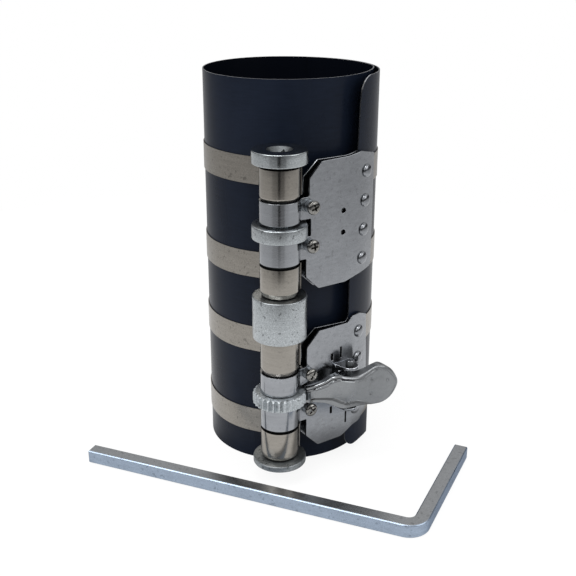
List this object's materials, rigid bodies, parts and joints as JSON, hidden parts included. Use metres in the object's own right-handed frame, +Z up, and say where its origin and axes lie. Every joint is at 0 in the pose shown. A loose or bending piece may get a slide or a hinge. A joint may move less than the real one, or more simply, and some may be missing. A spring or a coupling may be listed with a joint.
{
  "type": "piston ring compressor",
  "caption": "Ratchet piston ring compressor: rolled spring steel sleeve with tightening bands wound on a spindle, release lever and separate square key.",
  "frame": {"origin": "sleeve axis at the level of its bottom rim, which stands on the floor", "axes": "+Z up along the sleeve, -Y towards the spindle and the viewer, +X towards the brackets and the free edge of the sleeve"},
  "size_m": [0.1688, 0.125, 0.168],
  "materials": {
    "blued_sheet": "oil blued, satin",
    "band_steel": "cold rolled, satin",
    "bracket_steel": "plated, satin",
    "zinc_steel": "zinc plated, slightly speckled",
    "shaft_steel": "turned",
    "rivet_steel": "formed, satin",
    "screw_steel": "bright plated",
    "lever_chrome": "satin chrome",
    "spring_wire": "drawn wire",
    "key_zinc": "blue zinc plated"
  },
  "bodies": {
    "frame": {"sleeve": "blued_sheet", "band_1": "band_steel", "band_2": "band_steel", "band_3": "band_steel", "band_4": "band_steel", "upper_bracket": "bracket_steel", "lower_bracket": "bracket_steel", "upper_rivets": "rivet_steel", "lower_rivets": "rivet_steel", "clamp_screws": "screw_steel", "screw_collars": "zinc_steel", "screw_nuts": "screw_steel", "pivot_clevis": "bracket_steel", "clevis_rivets": "rivet_steel", "pivot_pin": "rivet_steel", "lever_spring": "spring_wire"},
    "spindle": {"spindle_shaft": "shaft_steel", "drive_head": "zinc_steel", "band_roll_1": "band_steel", "band_roll_2": "band_steel", "band_roll_3": "band_steel", "band_roll_4": "band_steel", "collar_ring": "zinc_steel", "coupling_collar": "zinc_steel", "ratchet_wheel": "zinc_steel", "bottom_flange": "zinc_steel"},
    "lever": {"ratchet_lever": "lever_chrome"},
    "key": {"key": "key_zinc"}
  },
  "joints": [
    {"name": "spindle_turn", "type": "hinge", "parent": "frame", "child": "spindle", "pos_m": [-0.0011, -0.0455, 0.1], "axis": [0, 0, 1], "range_deg": [-360, 1800]},
    {"name": "lever_pivot", "type": "hinge", "parent": "frame", "child": "lever", "pos_m": [0.02882, -0.03633, 0.0381], "axis": [0, 0, 1], "range_deg": [0, 12], "stiffness_Nm_per_rad": 0.05, "springref_deg": -5.73, "deforming": ["lever_spring"]},
    {"name": "key_lift", "type": "slide", "parent": "frame", "child": "key", "axis": [0, 0, 1], "range_m": [0, 0.15]}
  ]
}
